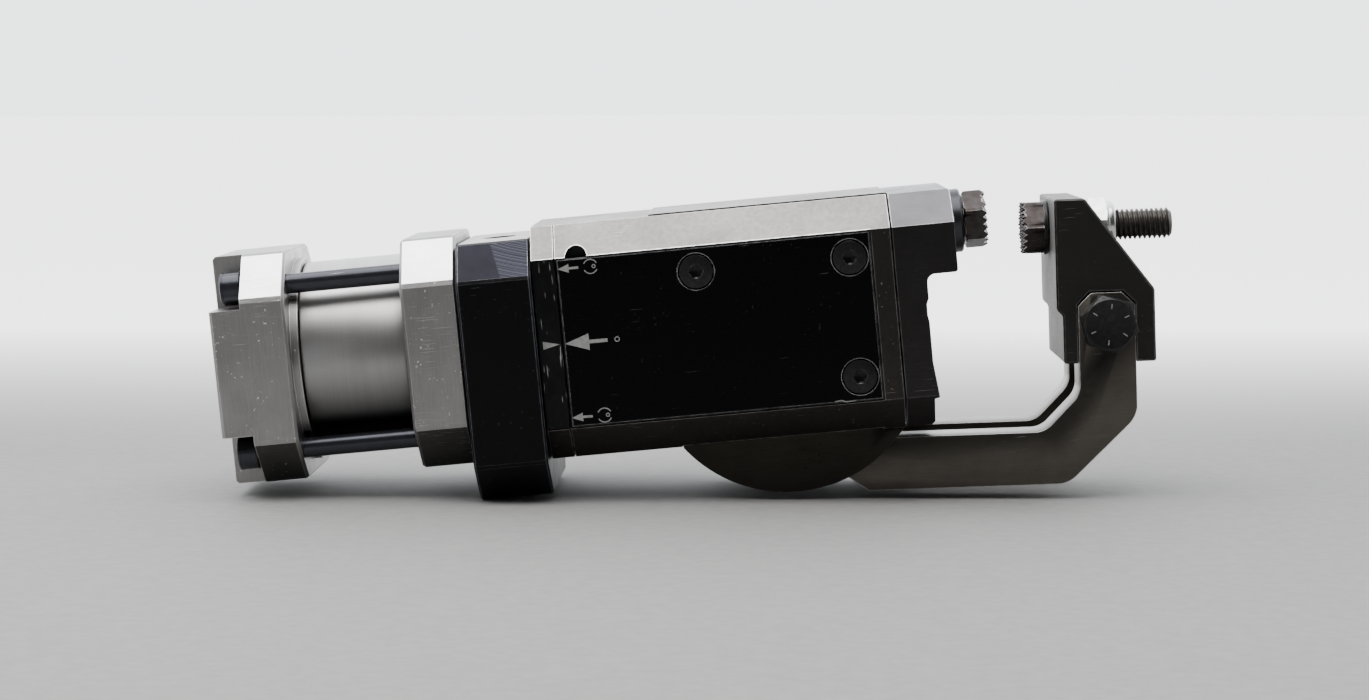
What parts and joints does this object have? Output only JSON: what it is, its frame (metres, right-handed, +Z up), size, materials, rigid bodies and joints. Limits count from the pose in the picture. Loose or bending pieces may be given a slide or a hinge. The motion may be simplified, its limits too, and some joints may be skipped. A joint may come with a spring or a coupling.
{
  "type": "pneumatic swing-arm gripper",
  "caption": "Compact pneumatic gripper: a short cylinder with a mounting flange drives a swinging L-shaped arm whose serrated stud meets a fixed serrated pad.",
  "frame": {"origin": "centre of the cylinder's rear end face, on the cylinder's axis", "axes": "+X along the cylinder's axis from the rear face towards the jaws, +Z up to the jaws' side, -Y towards the front cover"},
  "size_m": [0.2436, 0.0644, 0.0773],
  "materials": {
    "machined_aluminium": "machined, fine brushed grain with small scratches",
    "satin_steel": "satin, turned",
    "black_anodised": "black anodised, worn at the edges",
    "burnished_steel": "dark burnished, rubbed bright on cut edges",
    "black_oxide_steel": "black oxide",
    "zinc_plated": "bright zinc plate",
    "bronze": "machined bronze",
    "rubber": "matt black rubber"
  },
  "bodies": {
    "gripper_body": {"rear_head": "machined_aluminium", "front_head": "machined_aluminium", "neck_block": "machined_aluminium", "housing": "machined_aluminium", "barrel": "satin_steel", "mounting_flange": "black_anodised", "neck_plate_front": "black_anodised", "neck_plate_rear": "black_anodised", "side_cover_front": "black_anodised", "side_cover_rear": "black_anodised", "cheek_plate_front": "burnished_steel", "cheek_plate_rear": "burnished_steel", "jaw_bracket": "burnished_steel", "tie_screw_1": "black_oxide_steel", "tie_screw_2": "black_oxide_steel", "tie_screw_3": "black_oxide_steel", "tie_screw_4": "black_oxide_steel", "cover_screw_1": "black_oxide_steel", "cover_screw_2": "black_oxide_steel", "cover_screw_3": "black_oxide_steel", "cover_screw_4": "black_oxide_steel", "cover_screw_5": "black_oxide_steel", "cover_screw_6": "black_oxide_steel", "bracket_screw_1": "black_oxide_steel", "bracket_screw_2": "black_oxide_steel", "bracket_screw_3": "black_oxide_steel", "bracket_screw_4": "black_oxide_steel", "pad_spacer": "black_oxide_steel", "fixed_grip_pad": "black_oxide_steel", "rod_bush": "bronze", "pivot_bush_front": "bronze", "pivot_bush_rear": "bronze", "barrel_seal_rear": "rubber", "barrel_seal_front": "rubber", "rod_seal": "rubber"},
    "swing_arm": {"arm_plate_front": "burnished_steel", "arm_plate_rear": "burnished_steel", "cam_lever": "burnished_steel", "pivot_shaft": "satin_steel", "arm_dowel_1": "satin_steel", "arm_dowel_2": "satin_steel", "jaw_block": "black_oxide_steel", "grip_stud": "black_oxide_steel", "lock_nut": "zinc_plated", "jaw_bolt": "black_oxide_steel", "jaw_bolt_nut": "black_oxide_steel"},
    "piston_group": {"piston": "machined_aluminium", "piston_seal": "rubber", "piston_screw": "zinc_plated", "piston_rod": "satin_steel", "crosshead": "burnished_steel", "drive_pin": "satin_steel"}
  },
  "joints": [
    {"name": "arm_swing", "type": "hinge", "parent": "gripper_body", "child": "swing_arm", "pos_m": [0.1422, 0, -0.0082], "axis": [0, 1, 0], "range_deg": [-3.2, 41.8]},
    {"name": "piston_slide", "type": "slide", "parent": "gripper_body", "child": "piston_group", "axis": [1, 0, 0], "range_m": [-0.01022, 0.00078]}
  ],
  "couplings": [
    {"joint": "piston_slide", "follows": "arm_swing", "m_per_rad": -0.014}
  ]
}
